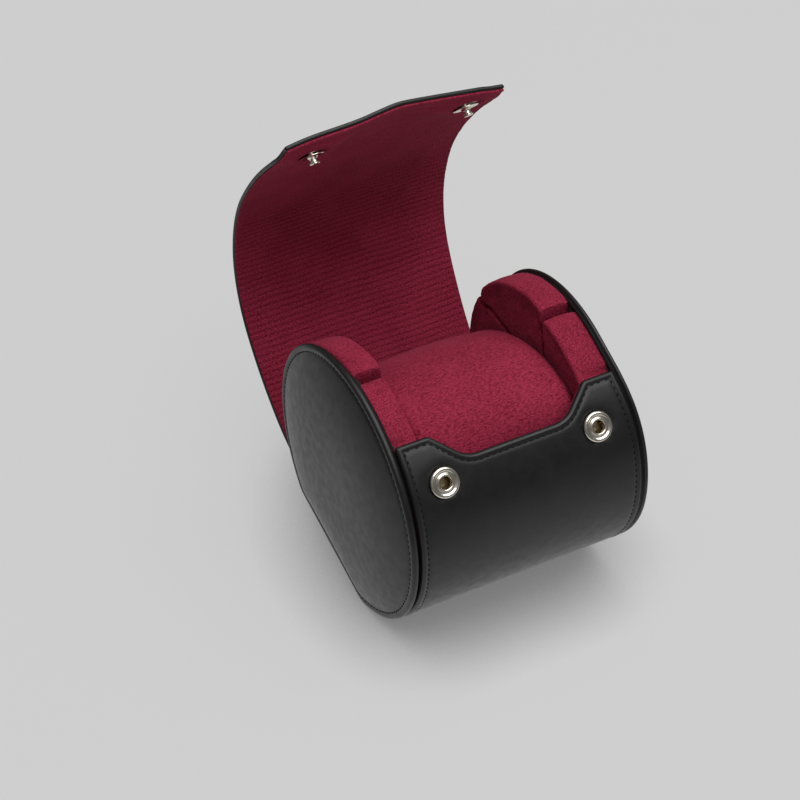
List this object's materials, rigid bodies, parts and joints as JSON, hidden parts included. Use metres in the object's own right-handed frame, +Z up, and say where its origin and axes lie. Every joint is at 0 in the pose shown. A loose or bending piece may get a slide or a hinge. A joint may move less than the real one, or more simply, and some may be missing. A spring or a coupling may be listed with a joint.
{
  "type": "watch travel case",
  "caption": "Round leather roll that carries a wristwatch on an oval cushion under a wrap-over flap with snap fasteners.",
  "frame": {"origin": "middle of the flat that the round bottom rests on", "axes": "+X along the roll's axis to the right end, +Y to the back where the open flap stands, +Z up"},
  "size_m": [0.0844, 0.1292, 0.1442],
  "materials": {
    "black_leather": "satin",
    "burgundy_suede": "matte",
    "stiffener": "matte",
    "end_board": "matte",
    "foam": "matte",
    "cushion_foam": "matte",
    "interlining": "matte",
    "nickel": "satin"
  },
  "bodies": {
    "case": {"wrap_leather": "black_leather", "wrap_board": "stiffener", "wrap_lining": "burgundy_suede", "end_cover_left": "black_leather", "end_foam_left": "foam", "end_board_left": "end_board", "pad_cover_left": "burgundy_suede", "pad_foam_left": "foam", "socket_shell_left": "nickel", "socket_spring_left": "nickel", "socket_base_left": "nickel", "end_cover_right": "black_leather", "end_foam_right": "foam", "end_board_right": "end_board", "pad_cover_right": "burgundy_suede", "pad_foam_right": "foam", "socket_shell_right": "nickel", "socket_spring_right": "nickel", "socket_base_right": "nickel"},
    "flap_1": {"flap_leather_1": "black_leather", "flap_interlining_1": "interlining", "flap_lining_1": "burgundy_suede"},
    "flap_2": {"flap_leather_2": "black_leather", "flap_interlining_2": "interlining", "flap_lining_2": "burgundy_suede"},
    "flap_3": {"flap_leather_3": "black_leather", "flap_interlining_3": "interlining", "flap_lining_3": "burgundy_suede"},
    "flap_4": {"flap_leather_4": "black_leather", "flap_interlining_4": "interlining", "flap_lining_4": "burgundy_suede"},
    "flap_5": {"flap_leather_5": "black_leather", "flap_interlining_5": "interlining", "flap_lining_5": "burgundy_suede"},
    "flap_tip": {"flap_leather_6": "black_leather", "flap_interlining_6": "interlining", "flap_lining_6": "burgundy_suede", "stud_left": "nickel", "stud_post_left": "nickel", "stud_right": "nickel", "stud_post_right": "nickel"},
    "cushion": {"cushion_cover": "burgundy_suede", "cushion_core": "cushion_foam"}
  },
  "joints": [
    {"name": "flap_hinge", "type": "hinge", "parent": "case", "child": "flap_1", "pos_m": [0, 0.02783, 0.01304], "axis": [1, 0, 0], "range_deg": [0, 25.95]},
    {"name": "flap_curl_1", "type": "hinge", "parent": "flap_1", "child": "flap_2", "pos_m": [0, 0.05442, 0.02488], "axis": [1, 0, 0], "range_deg": [0, 24.29]},
    {"name": "flap_curl_2", "type": "hinge", "parent": "flap_2", "child": "flap_3", "pos_m": [0, 0.07439, 0.0463], "axis": [1, 0, 0], "range_deg": [0, 7.42]},
    {"name": "flap_curl_3", "type": "hinge", "parent": "flap_3", "child": "flap_4", "pos_m": [0, 0.08186, 0.07418], "axis": [1, 0, 0], "range_deg": [0, 2.4]},
    {"name": "flap_curl_4", "type": "hinge", "parent": "flap_4", "child": "flap_5", "pos_m": [0, 0.07287, 0.10186], "axis": [1, 0, 0], "range_deg": [0, 17.75]},
    {"name": "flap_tip_bend", "type": "hinge", "parent": "flap_5", "child": "flap_tip", "pos_m": [0, 0.055, 0.12515], "axis": [1, 0, 0], "range_deg": [0, 24.75]},
    {"name": "cushion_lift", "type": "slide", "parent": "case", "child": "cushion", "axis": [0, 0.515, 0.8572], "range_m": [0, 0.006]}
  ],
  "couplings": [
    {"joint": "flap_curl_1", "follows": "flap_hinge", "ratio": 0.93526},
    {"joint": "flap_curl_2", "follows": "flap_hinge", "ratio": 0.28516},
    {"joint": "flap_curl_3", "follows": "flap_hinge", "ratio": 0.09171},
    {"joint": "flap_curl_4", "follows": "flap_hinge", "ratio": 0.68324}
  ]
}
